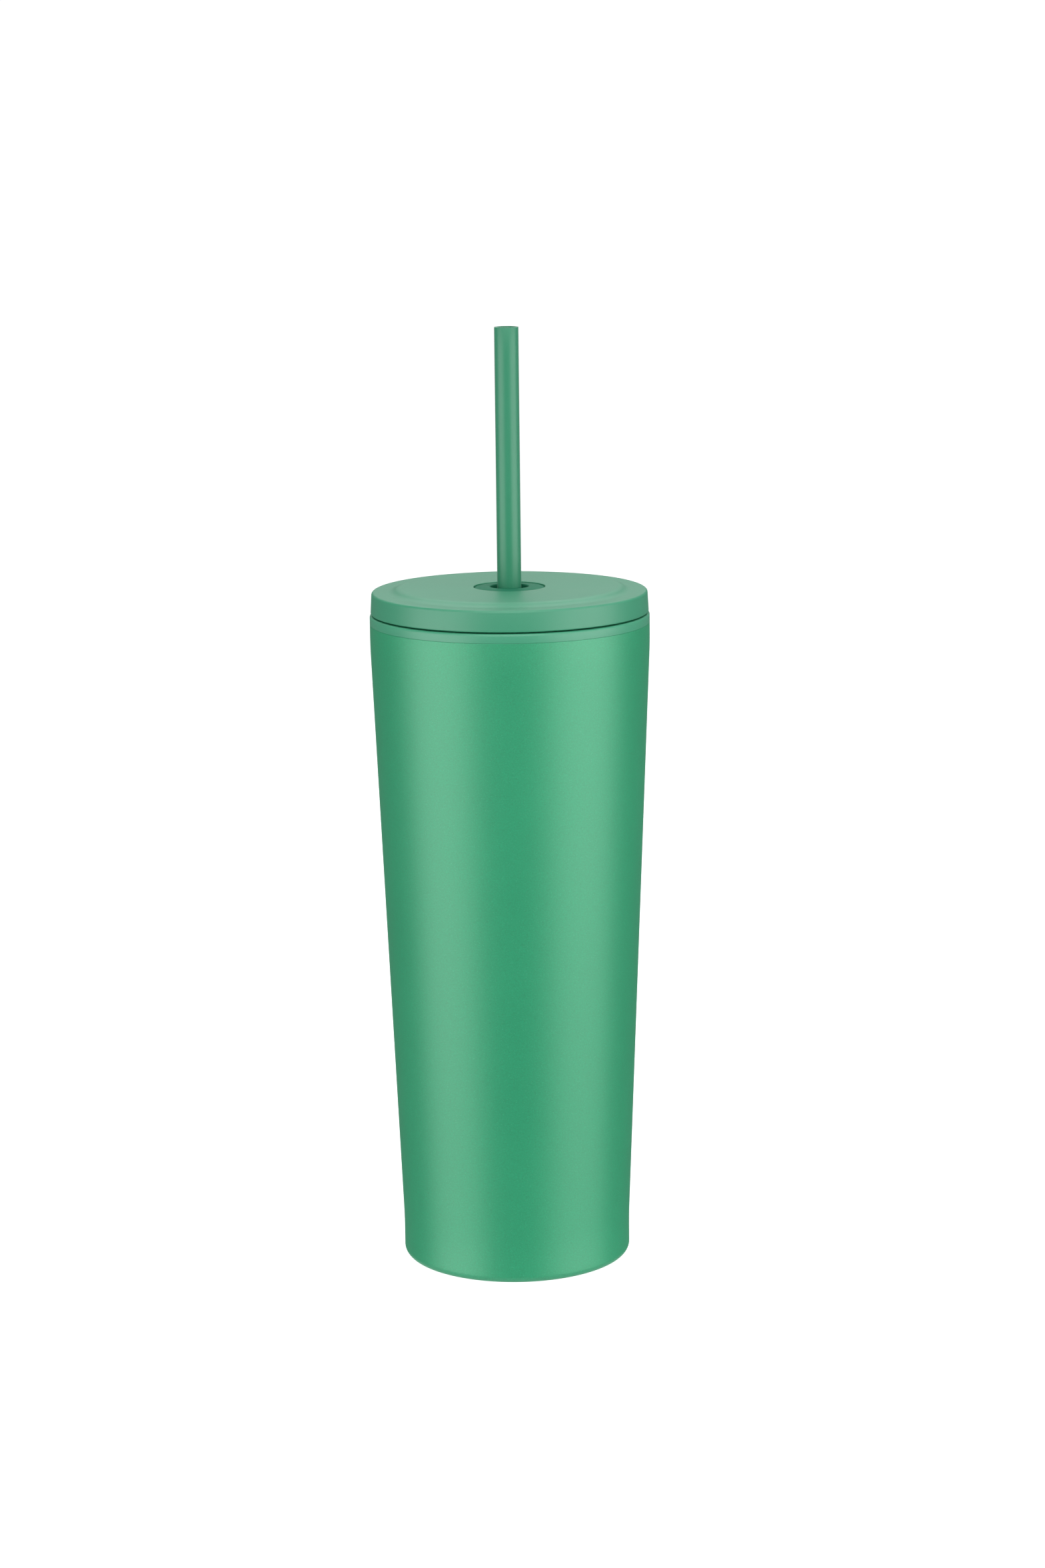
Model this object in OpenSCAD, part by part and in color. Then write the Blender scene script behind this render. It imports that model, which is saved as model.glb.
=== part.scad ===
// Insulated tumbler: a double-walled steel cup with a screw-on lid and a straw.
// The cup stands on z = 0 and turns about the Z axis. All sizes are in millimetres.

/* [Cup] */
// Outside diameter of the cup at its mouth
mouth_d = 85; // [72:0.5:102]
// Outside diameter of the straight foot
foot_d = 70.4; // [58:0.2:84.6]
// Height of the steel body, from the table to the rim under the collar
body_h = 198.8; // [165:0.2:240]
// Height of the straight base cup
foot_h = 8; // [6.6:0.1:9.6]
// Height of the straight band under the rim
band_h = 3.6; // [3:0.1:4.4]
// Height over which the taper bends into the foot and into the band
taper_blend = 6; // [5:0.5:8]
// Outside radius of the edge that the cup stands on
foot_edge_r = 2.4; // [2:0.1:3]
// Sheet thickness of the outer shell and base cup
shell_t = 0.5; // [0.4:0.05:0.6]
// Sheet thickness of the liner
liner_t = 0.5; // [0.4:0.05:0.6]
// Vacuum gap between the two tapered walls
wall_gap = 3.4; // [2.8:0.1:4.2]
// Vacuum gap behind the straight band at the mouth
band_gap = 2.4; // [2:0.1:2.9]
// Vacuum gap between the base cup and the liner's floor
floor_gap = 5.4; // [4.5:0.1:6.5]
// Inside radius where the liner's wall meets its floor
liner_corner_r = 8; // [6:0.5:10]

/* [Base] */
// Depth of the recess under the cup
base_recess = 1.6; // [1.3:0.1:2]
// Width of the flat ring that the cup stands on
rest_ring_w = 2.2; // [1.8:0.1:2.8]
// Thickness of the base cover
cover_t = 0.6; // [0.5:0.05:0.8]
// Diameter of the dimple round the evacuation hole
dimple_d = 14; // [11:0.5:17]
// Height of that dimple
dimple_h = 1.2; // [1:0.1:1.5]
// Diameter of the evacuation hole
seal_hole_d = 2; // [1.6:0.1:2.4]
// Diameter of the glass bead that seals the hole
bead_d = 6; // [5:0.1:7.5]
// Diameter of the getter pill
getter_d = 8; // [6.6:0.1:9.6]
// Thickness of the getter pill
getter_t = 1.4; // [1.1:0.1:1.7]
// Thickness of the getter's clip
clip_t = 0.3; // [0.25:0.05:0.4]
// Thickness of the foil round the liner
foil_t = 0.2; // [0.15:0.05:0.3]

/* [Collar] */
// Height of the collar's visible band
collar_band_h = 2.8; // [2.3:0.1:3.4]
// Height of the threaded neck above the band
neck_h = 4.2; // [3.5:0.1:5.1]
// How far the neck stands in from the cup's outside
neck_inset = 2.8; // [2.4:0.1:3.4]
// Depth to which the collar's skirt reaches into the liner
collar_skirt_h = 10; // [8:0.5:12]
// Wall of the neck and of the collar's skirt, from the liner inwards
collar_wall = 1.5; // [1.2:0.1:1.8]
// Height of the silicone seal round the collar's skirt
collar_seal_h = 2; // [1.6:0.1:2.4]
// Depth of the groove that the seal sits in
seal_groove = 0.8; // [0.6:0.1:1]

/* [Thread] */
// Rise of the lid in one turn
thread_lead = 4; // [3.3:0.1:4.8]
// Number of thread ridges, side by side
thread_starts = 2; // [1:1:2]
// Height of a ridge above its wall
thread_depth = 0.8; // [0.65:0.05:0.95]
// Radial play between a ridge and the wall it faces
thread_play = 0.3; // [0.25:0.05:0.4]

/* [Lid] */
// Gap between the collar's band and the lid's skirt
lid_gap = 0.4; // [0.3:0.1:0.6]
// How far the skirt's lower edge stands in from the cup's outside
lid_inset = 0.3; // [0.2:0.1:0.5]
// How much narrower the skirt is at its top, on the radius
lid_draft = 0.3; // [0.2:0.1:0.5]
// Thickness of the lid's cover
lid_t = 1.8; // [1.5:0.1:2.2]
// Radius of the cover's outer edge
lid_edge_r = 0.8; // [0.6:0.1:1]
// Distance from the cup's outside to the flat of the raised centre
plateau_inset = 9.9; // [8.5:0.1:11.6]
// Height of the raised centre above the rim
plateau_h = 1.2; // [1:0.1:1.4]
// Radius over which the raised centre bends down
plateau_edge_r = 5; // [3:0.1:5.6]
// Width of the slope from the raised centre down to the rim
slope_w = 5.2; // [4.5:0.1:5.9]
// Thickness of the lid's inner plate and its walls
plate_t = 1.4; // [1.1:0.1:1.7]
// Depth of the inner plate's underside below the cover
plug_depth = 3.7; // [3.1:0.1:4.5]
// Play between the inner plate and the collar's bore, on the radius
plug_play = 0.6; // [0.5:0.1:0.8]
// Thickness of the lid's gasket
gasket_t = 1.2; // [1:0.1:1.5]
// Width of the lid's gasket
gasket_w = 1.6; // [1.3:0.1:1.7]

/* [Straw] */
// Outside diameter of the straw
straw_d = 7.3; // [6:0.1:8.8]
// Wall of the straw
straw_wall = 0.85; // [0.7:0.05:1.05]
// Length of the straw
straw_l = 279.6; // [245:0.5:335]
// Diameter of the hole through the grommet
grommet_hole_d = 11.5; // [9.6:0.1:13.8]
// Width of the grommet's flange round its hole
grommet_flange_w = 4.9; // [4.2:0.1:5.9]
// Thickness of the grommet's flange at its edge
grommet_flange_t = 1.6; // [1.3:0.1:2]
// Rise of the flange from its edge to its hole
grommet_crown = 0.4; // [0.3:0.1:0.5]
// Depth of the flange's edge below the raised centre
grommet_recess = 0.3; // [0.2:0.1:0.4]
// How much wider the stopper ring is than the grommet's hole
stopper_over = 1.9; // [1.6:0.1:2.3]
// Height of the stopper ring
stopper_h = 4; // [3.3:0.1:4.8]
// Height of the stopper ring above the straw's foot
stopper_up = 30; // [25:1:36]

/* [Hidden] */
$fn = 96;
arc_steps = 8;
blend_steps = 6;

// Clearances between pieces
touch = 0.02;         // between curved faces that meet
slip = 0.05;          // between faces that slide or are glued
seam = 0.15;          // open seam between the shell's edge and the collar
swivel = 0.08;        // round the grommet's waist, which turns in the lid
flange_gap = 0.2;     // open gap round the grommet's flange
straw_foot_gap = 0.3; // under the straw's cut end

// Cup
mouth_r = mouth_d / 2;
foot_r = foot_d / 2;
band_z = body_h - band_h;
taper = (mouth_r - foot_r) / (band_z - foot_h - taper_blend);
shell_top = body_h - seam;
rest_in_r = foot_r - foot_edge_r - rest_ring_w;
base_top = base_recess + shell_t;
floor_under = base_top + floor_gap;
floor_z = floor_under + liner_t;
collar_foot = body_h - collar_skirt_h;
ledge_z = collar_foot - slip;
ledge_h = 2;
band_in_r = mouth_r - shell_t - band_gap - liner_t;

// Collar and thread
band_top = body_h + collar_band_h;
neck_top = band_top + neck_h;
neck_r = mouth_r - neck_inset;
skirt_out_r = band_in_r - slip;
bore_r = skirt_out_r - collar_wall;
seal_z = body_h - collar_skirt_h * 0.55;
pitch = thread_lead / thread_starts;
ridge_root = 0.6 * pitch;
ridge_crest = 0.3 * pitch;
ridge_embed = 0.4;
ridge_run_in = 14;
ridge_step = 5;
ridge_margin = 0.4;
ridge_span = (neck_h - 2 * ridge_margin - ridge_root) / thread_lead * 360;
ridge_z = band_top + ridge_margin + ridge_root / 2;

// Lid
gasket_stand = gasket_t - 0.3;
gasket_groove = gasket_t - gasket_stand + 2 * slip;
gasket_z = neck_top + slip;
under_z = neck_top + gasket_stand;
rim_z = under_z + lid_t;
plateau_z = rim_z + plateau_h;
plateau_r = mouth_r - plateau_inset;
skirt_foot = band_top + lid_gap;
skirt_foot_r = mouth_r - lid_inset;
skirt_top_r = skirt_foot_r - lid_draft;
skirt_in_r = neck_r + thread_depth + thread_play;
gasket_out_r = neck_r - slip;
gasket_in_r = gasket_out_r - gasket_w;
plug_r = bore_r - plug_play;
plug_foot = under_z - plug_depth;
plug_well_z = plateau_z - lid_t;
slope_r = (slope_w * slope_w + plateau_h * plateau_h) / (2 * plateau_h);
slope_angle = asin(slope_w / slope_r);
cove_r = slope_r - plateau_edge_r;
lid_lug_z = skirt_foot + ridge_root / 2 + 0.1;

// Grommet and straw
grommet_hole_r = grommet_hole_d / 2;
grommet_r = grommet_hole_r + grommet_flange_w;
cover_hole_r = grommet_r + flange_gap;
grommet_edge_z = plateau_z - grommet_recess;
grommet_seat_z = grommet_edge_z - grommet_flange_t;
waist_r = grommet_hole_r + 2.2;
hub_in_r = waist_r + swivel;
hub_out_r = hub_in_r + plate_t;
lip_t = 1.2;
lip_r = hub_in_r + 0.7;
grommet_foot = plug_foot - slip - lip_t;
straw_r = straw_d / 2;
straw_foot = floor_z + straw_foot_gap;
straw_bore_r = straw_r - straw_wall;
stopper_z = straw_foot + stopper_up;
stopper_r = grommet_hole_r + stopper_over / 2;

// Points on an arc round centre c, from angle a to angle b
function arc(c, r, a, b) =
    [for (i = [0 : arc_steps]) let (t = a + (b - a) * i / arc_steps) c + r * [cos(t), sin(t)]];

// Outside radius of the shell at a height: straight foot, taper, straight band
function shell_r(z) =
    z <= foot_h ? foot_r
    : z < foot_h + taper_blend ? foot_r + taper * pow(z - foot_h, 2) / (2 * taper_blend)
    : z <= band_z - taper_blend ? foot_r + taper * (z - foot_h - taper_blend / 2)
    : z < band_z ? mouth_r - taper * pow(band_z - z, 2) / (2 * taper_blend)
    : mouth_r;

// Heights at which a wall that follows the shell bends, between two heights
function bends(low, high) = [
    for (z = concat(
        [low],
        [for (i = [0 : blend_steps]) foot_h + taper_blend * i / blend_steps],
        [for (i = [0 : blend_steps]) band_z - taper_blend * (1 - i / blend_steps)],
        [high]))
    if (z == low || z == high || (z > low + 0.5 && z < high - 0.5)) z
];

// The shell's outline, moved in by inset, as points from low to high
function wall_line(inset, low, high) = [for (z = bends(low, high)) [shell_r(z) - inset, z]];
function reversed(list) = [for (i = [len(list) - 1 : -1 : 0]) list[i]];
function after_first(list) = [for (i = [1 : len(list) - 1]) list[i]];

// A solid turned about the Z axis from its outline
module turned(outline) {
    rotate_extrude() polygon(outline);
}

// A ring with a rectangular section
module ring(inner_r, outer_r, low, high) {
    turned([[inner_r, low], [outer_r, low], [outer_r, high], [inner_r, high]]);
}

// One cross section of a thread ridge: its foot is in the wall, and side is 1 for out and -1 for in
function ridge_section(wall_r, side, angle, span, z) =
    let (
        run = min(1, angle / ridge_run_in, (span - angle) / ridge_run_in),
        foot = wall_r - side * ridge_embed,
        crest = wall_r + side * thread_depth * (1.15 * run - 0.15),
        mid = z + thread_lead * angle / 360,
        corners = [
            [foot, mid - ridge_root / 2], [crest, mid - ridge_crest / 2],
            [crest, mid + ridge_crest / 2], [foot, mid + ridge_root / 2],
        ]
    )
    side > 0 ? corners : reversed(corners);

// A right-handed ridge that climbs from height z along a wall of radius wall_r
module ridge(wall_r, side, z, span, start) {
    steps = ceil(span / ridge_step);
    points = [
        for (i = [0 : steps])
        let (angle = span * i / steps)
        for (p = ridge_section(wall_r, side, angle, span, z))
        [p[0] * cos(start + angle), p[0] * sin(start + angle), p[1]]
    ];
    sides = [
        for (i = [0 : steps - 1], k = [0 : 3])
        let (a = 4 * i + k, b = 4 * i + (k + 1) % 4)
        each [[a, b, b + 4], [a, b + 4, a + 4]]
    ];
    last = 4 * steps;
    ends = [[0, 2, 1], [0, 3, 2], [last, last + 1, last + 2], [last, last + 2, last + 3]];
    polyhedron(points, concat(sides, ends));
}

// All the ridges of one thread
module thread(wall_r, side, z, start) {
    for (i = [0 : thread_starts - 1])
        ridge(wall_r, side, z, ridge_span, start + 360 * i / thread_starts);
}

// Tapered outer wall of painted steel, open at both ends
module outer_shell() {
    color([0.18, 0.60, 0.41])
    turned(concat(
        wall_line(0, foot_h, shell_top),
        reversed(wall_line(shell_t, foot_h, shell_top))));
}

// Straight foot with a rolled edge and a recessed bottom, welded under the shell
module base_cup() {
    edge = [foot_r - foot_edge_r, foot_edge_r];
    riser_r = rest_in_r - shell_t;
    dimple_r = dimple_d / 2;
    dimple_z = base_recess + dimple_h;
    color([0.18, 0.60, 0.41])
    turned(concat(
        [[foot_r, foot_h]],
        arc(edge, foot_edge_r, 0, -90),
        [[riser_r, 0], [riser_r, base_recess], [dimple_r, base_recess],
         [dimple_r, dimple_z], [seal_hole_d / 2, dimple_z], [seal_hole_d / 2, dimple_z + shell_t],
         [dimple_r + shell_t, dimple_z + shell_t], [dimple_r + shell_t, base_top],
         [rest_in_r, base_top], [rest_in_r, shell_t]],
        arc(edge, foot_edge_r - shell_t, -90, 0),
        [[foot_r - shell_t, foot_h]]));
}

// Disc that hides the sealed hole, glued into the recess
module base_cover() {
    cover_r = rest_in_r - shell_t - slip;
    cover_z = base_recess - slip - cover_t;
    edge_r = cover_t / 2;
    color([0.20, 0.58, 0.41])
    turned(concat(
        [[0, cover_z]],
        arc([cover_r - edge_r, cover_z + edge_r], edge_r, -90, 0),
        [[cover_r, cover_z + cover_t], [0, cover_z + cover_t]]));
}

// Glass bead melted over the evacuation hole and a little way into it
module seal_bead() {
    bead_r = bead_d / 2;
    bead_h = dimple_h * 0.75;
    bead_z = base_recess + dimple_h - touch;
    neck_r = seal_hole_d / 2 - touch;
    color([0.35, 0.36, 0.38])
    turned(concat(
        [[0, bead_z - bead_h]],
        arc([bead_r - bead_h, bead_z], bead_h, -90, 0),
        [[neck_r, bead_z], [neck_r, bead_z + shell_t], [0, bead_z + shell_t]]));
}

getter_x = (rest_in_r + dimple_d / 2) / 2;
getter_z = base_top + clip_t + touch;

// Pill that takes up the last gas in the vacuum
module getter() {
    color([0.45, 0.45, 0.47])
    translate([getter_x, 0, getter_z]) cylinder(d = getter_d, h = getter_t);
}

// Spring clip that holds the pill, welded to the base cup
module getter_clip() {
    arm_x = getter_d / 2 + slip;
    arm_h = clip_t + getter_t + 2 * slip;
    arm_w = getter_d * 0.4;
    hook = getter_d * 0.12;
    color([0.75, 0.75, 0.76])
    translate([getter_x, 0, base_top])
    union() {
        translate([-arm_x - clip_t, -arm_w / 2, 0]) cube([2 * (arm_x + clip_t), arm_w, clip_t]);
        for (side = [0, 1]) mirror([side, 0, 0]) {
            translate([arm_x, -arm_w / 2, 0]) cube([clip_t, arm_w, arm_h]);
            translate([arm_x - hook, -arm_w / 2, arm_h]) cube([hook + clip_t, arm_w, clip_t]);
        }
    }
}

// Outside radius of the liner's tapered wall at a height
function liner_r(z) = shell_r(z) - shell_t - wall_gap;

// Inner steel cup, with a flange at its rim that is welded inside the shell
module inner_liner() {
    outer_corner = [liner_r(floor_under + liner_corner_r) - liner_corner_r - liner_t,
                    floor_under + liner_corner_r + liner_t];
    wall_foot = outer_corner[1];
    wall_top = ledge_z - ledge_h;
    inset = shell_t + wall_gap;
    band_out_r = band_in_r + liner_t;
    flange_r = mouth_r - shell_t - touch;
    color([0.78, 0.78, 0.77])
    turned(concat(
        [[0, floor_under]],
        arc(outer_corner, liner_corner_r + liner_t, -90, 0),
        wall_line(inset, wall_foot + 0.5, wall_top),
        [[band_out_r, ledge_z], [band_out_r, body_h - liner_t],
         [flange_r, body_h - liner_t], [flange_r, body_h], [band_in_r, body_h],
         [band_in_r, ledge_z]],
        reversed(wall_line(inset + liner_t, wall_foot + 0.5, wall_top)),
        arc(outer_corner, liner_corner_r, 0, -90),
        [[0, floor_z]]));
}

// Bright foil round the liner that keeps radiant heat back
module liner_foil() {
    low = foot_h + taper_blend + liner_corner_r;
    high = band_z - taper_blend - collar_skirt_h;
    inset = shell_t + wall_gap - slip;
    color([0.80, 0.50, 0.32])
    turned(concat(
        wall_line(inset - foil_t, low, high),
        reversed(wall_line(inset, low, high))));
}

// Plastic ring glued into the mouth: a band on the rim, a threaded neck and a skirt
module neck_collar() {
    edge_r = collar_band_h / 4;
    lip_edge_r = (neck_r - bore_r) / 4;
    color([0.33, 0.68, 0.52])
    difference() {
        union() {
            turned(concat(
                [[bore_r, collar_foot], [skirt_out_r, collar_foot], [skirt_out_r, body_h],
                 [mouth_r, body_h]],
                arc([mouth_r - edge_r, band_top - edge_r], edge_r, 0, 90),
                [[neck_r, band_top]],
                arc([neck_r - lip_edge_r, neck_top - lip_edge_r], lip_edge_r, 0, 90),
                [[bore_r, neck_top]]));
            thread(neck_r, 1, ridge_z, 0);
        }
        ring(skirt_out_r - seal_groove, skirt_out_r + 1, seal_z, seal_z + collar_seal_h);
    }
}

// Silicone ring in the collar's groove, pressed against the liner
module collar_seal() {
    color([0.80, 0.84, 0.82])
    ring(skirt_out_r - seal_groove + slip, band_in_r - slip,
         seal_z + touch, seal_z + collar_seal_h - touch);
}

// Flat silicone ring under the lid that closes on the neck
module lid_gasket() {
    color([0.80, 0.84, 0.82])
    ring(gasket_in_r, gasket_out_r, gasket_z, gasket_z + gasket_t);
}

// Outer part of the lid: raised centre, rim, and a skirt with the thread inside
module lid_cover() {
    foot_edge = 0.4;
    top_edge = [skirt_top_r - lid_edge_r, rim_z - lid_edge_r];
    groove_in_r = gasket_in_r - slip;
    groove_out_r = gasket_out_r + slip;
    groove_z = under_z + gasket_groove;
    well_r = plateau_r - lid_t;
    color([0.30, 0.65, 0.49])
    union() {
        turned(concat(
            [[cover_hole_r, plug_well_z], [cover_hole_r, plateau_z]],
            arc([plateau_r, plateau_z - plateau_edge_r], plateau_edge_r, 90, 90 - slope_angle),
            after_first(
                arc([plateau_r + slope_w, rim_z + cove_r], cove_r, -90 - slope_angle, -90)),
            arc(top_edge, lid_edge_r, 90, 0),
            arc([skirt_foot_r - foot_edge, skirt_foot + foot_edge], foot_edge, 0, -90),
            [[skirt_in_r, skirt_foot], [skirt_in_r, under_z], [groove_out_r, under_z],
             [groove_out_r, groove_z], [groove_in_r, groove_z], [groove_in_r, under_z],
             [well_r, under_z], [well_r, plug_well_z]]));
        thread(skirt_in_r, -1, lid_lug_z, lug_start);
    }
}

// The lid's ridges lie half a pitch below the neck's when the lid is closed
lug_start = (lid_lug_z - ridge_z + pitch / 2) / thread_lead * 360;

// Inner part of the lid: a shallow cup that closes the air space, with a hub for the grommet
module lid_inner() {
    edge_r = plate_t * 0.6;
    wall_in_r = plug_r - plate_t;
    plate_z = plug_foot + plate_t;
    color([0.36, 0.68, 0.53])
    turned(concat(
        [[hub_in_r, plug_foot]],
        arc([plug_r - edge_r, plug_foot + edge_r], edge_r, -90, 0),
        [[plug_r, under_z - touch], [wall_in_r, under_z - touch], [wall_in_r, plate_z],
         [hub_out_r, plate_z], [hub_out_r, grommet_seat_z - slip],
         [hub_in_r, grommet_seat_z - slip]]));
}

// Silicone ring in the lid's centre that the straw passes through
module straw_grommet() {
    edge = 0.3;
    hole_edge = 0.3;
    crown_z = grommet_edge_z + grommet_crown;
    color([0.17, 0.45, 0.34])
    turned(concat(
        [[grommet_hole_r, grommet_foot], [lip_r - lip_t / 2, grommet_foot],
         [lip_r, grommet_foot + lip_t], [waist_r, grommet_foot + lip_t],
         [waist_r, grommet_seat_z], [grommet_r, grommet_seat_z]],
        arc([grommet_r - edge, grommet_edge_z - edge], edge, 0, 90),
        arc([grommet_hole_r + hole_edge, crown_z - hole_edge], hole_edge, 90, 180)));
}

// Straight drinking straw
module straw_tube() {
    color([0.24, 0.60, 0.45])
    ring(straw_bore_r, straw_r, straw_foot, straw_foot + straw_l);
}

// Silicone ring on the straw that keeps it from being pulled out through the lid
module straw_stopper() {
    edge_r = 0.8;
    top = stopper_z + stopper_h;
    color([0.17, 0.45, 0.34])
    turned(concat(
        [[straw_r + touch, stopper_z]],
        arc([stopper_r - edge_r, stopper_z + edge_r], edge_r, -90, 0),
        arc([stopper_r - edge_r, top - edge_r], edge_r, 0, 90),
        [[straw_r + touch, top]]));
}

outer_shell();
base_cup();
base_cover();
seal_bead();
getter();
getter_clip();
inner_liner();
liner_foil();
neck_collar();
collar_seal();
lid_gasket();
lid_cover();
lid_inner();
straw_grommet();
straw_tube();
straw_stopper();
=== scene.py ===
"""Looks of a tall insulated tumbler: painted steel cup, screw lid, soft grommet and straw."""

import math

import bmesh
import bpy
from bpy.props import FloatProperty, FloatVectorProperty, PointerProperty
from bpy.types import Operator, Panel, PropertyGroup
from mathutils import Matrix, Vector


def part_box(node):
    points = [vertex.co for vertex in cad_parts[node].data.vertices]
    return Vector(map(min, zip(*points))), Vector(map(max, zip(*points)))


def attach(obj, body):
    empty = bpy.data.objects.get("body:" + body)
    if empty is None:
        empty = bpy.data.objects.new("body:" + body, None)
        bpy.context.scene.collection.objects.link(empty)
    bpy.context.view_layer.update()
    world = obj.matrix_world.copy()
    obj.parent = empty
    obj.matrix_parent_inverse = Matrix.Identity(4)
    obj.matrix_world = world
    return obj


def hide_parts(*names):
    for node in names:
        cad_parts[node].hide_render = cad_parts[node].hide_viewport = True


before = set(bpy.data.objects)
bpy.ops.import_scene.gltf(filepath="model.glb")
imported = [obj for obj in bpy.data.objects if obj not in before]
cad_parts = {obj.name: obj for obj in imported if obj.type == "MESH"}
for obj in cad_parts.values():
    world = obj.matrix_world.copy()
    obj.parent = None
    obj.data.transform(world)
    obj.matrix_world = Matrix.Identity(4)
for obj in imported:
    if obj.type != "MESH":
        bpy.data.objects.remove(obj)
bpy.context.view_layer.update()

bl_info = {
    "name": "Insulated tumbler",
    "version": (1, 0, 0),
    "blender": (4, 5, 0),
    "location": "View3D > Sidebar > Tumbler",
    "description": "Builds the visible pieces, finishes and studio of an insulated tumbler",
    "category": "Object",
}

MM = 0.001
FIT = 0.05 * MM  # play between two pieces that fit closely
FILM = 0.02 * MM  # glue or weld between two fixed pieces
SEGMENTS = 256
ARC_STEPS = 8
SHARP_ANGLE = math.radians(32)
THREAD_STARTS = 2
SENSOR_WIDTH = 36.0  # in millimetres, as the lens is


# ---------------------------------------------------------------- sizes taken from the CAD parts in model.glb


def radius_of(node):
    """Outer radius of a turned CAD node."""
    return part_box(node)[1].x


def foot_of(node):
    """Lowest point of a CAD node."""
    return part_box(node)[0].z


def top_of(node):
    """Highest point of a CAD node."""
    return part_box(node)[1].z


def length(name, description, default):
    """A property that holds a length in metres."""
    return FloatProperty(
        name=name,
        description=description,
        default=default,
        min=0.0,
        precision=5,
        subtype="DISTANCE",
        unit="LENGTH",
    )


def brightness(name, description, default):
    """A property that holds how bright a light or a lit surface is, where 1 is white."""
    return FloatProperty(name=name, description=description, default=default, min=0.0)


def colour(name, description, default):
    """A property that holds a linear colour."""
    return FloatVectorProperty(
        name=name, description=description, default=default, size=3, min=0.0, max=1.0, subtype="COLOR"
    )


class TumblerCup(PropertyGroup):
    """Sizes of the steel cup and of the collar in its mouth."""

    mouth_r: length("Mouth radius", "Outer radius of the cup at its mouth", radius_of("outer_shell"))
    foot_r: length("Foot radius", "Outer radius of the straight foot", radius_of("base_cup"))
    weld_z: length("Weld height", "Height of the joint of the foot and the shell", foot_of("outer_shell"))
    shell_top: length(
        "Shell top", "Height of the shell's upper edge with its paint", top_of("outer_shell") + 0.12 * MM
    )
    rim_z: length("Rim height", "Height of the liner's flange", top_of("inner_liner"))
    band_h: length("Straight band", "Height of the straight band under the rim", 3.6 * MM)
    blend_h: length("Taper blend", "Height over which the taper bends into the straight ends", 6.0 * MM)
    sheet: length("Sheet", "Thickness of the steel sheet", 0.5 * MM)
    foot_edge: length("Foot edge", "Radius of the edge that the cup stands on", 2.4 * MM)
    rest_ring: length("Rest ring", "Width of the flat ring that the cup stands on", 2.2 * MM)
    recess: length("Recess", "Depth of the recess under the cup", 1.6 * MM)
    dimple_r: length("Dimple radius", "Radius of the dimple round the sealed hole", 7.0 * MM)
    dimple_h: length("Dimple height", "Height of the dimple round the sealed hole", 1.2 * MM)
    seal_hole_r: length("Sealed hole", "Radius of the sealed hole", 1.0 * MM)
    paint_edge: length("Paint edge", "Radius that the paint gives to the shell's rim", 0.06 * MM)
    wall_gap: length("Wall gap", "Gap between the two tapered walls", 3.4 * MM)
    band_gap: length("Band gap", "Gap between the walls behind the straight band", 2.4 * MM)
    liner_floor: length("Liner floor", "Height of the underside of the liner", foot_of("inner_liner"))
    liner_corner: length("Liner corner", "Inner radius between the liner's wall and floor", 8.0 * MM)
    ledge_z: length("Ledge height", "Height of the ledge under the collar's skirt", foot_of("neck_collar"))
    ledge_h: length("Ledge", "Height of the slope of that ledge", 2.0 * MM)
    band_top: length(
        "Collar band top", "Height of the top of the collar's band", top_of("inner_liner") + 2.8 * MM
    )
    band_edge: length("Collar band edge", "Radius of the collar band's upper edge", 0.7 * MM)
    cove: length("Neck cove", "Radius of the cove between the band and the neck", 0.3 * MM)
    neck_top: length("Neck top", "Height of the collar's neck", top_of("neck_collar"))
    neck_inset: length("Neck inset", "How far the neck stands in from the cup's outside", 2.8 * MM)
    collar_wall: length("Collar wall", "Wall of the collar's skirt", 1.5 * MM)
    seal_groove: length("Seal groove", "Depth of the groove round the collar's skirt", 0.8 * MM)
    ridge_foot: length("Ridge foot", "Height of a neck ridge's middle above the band", 1.0 * MM)
    ridge_room: length("Ridge room", "Height of the neck that the ridges leave free", 0.8 * MM)


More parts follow.
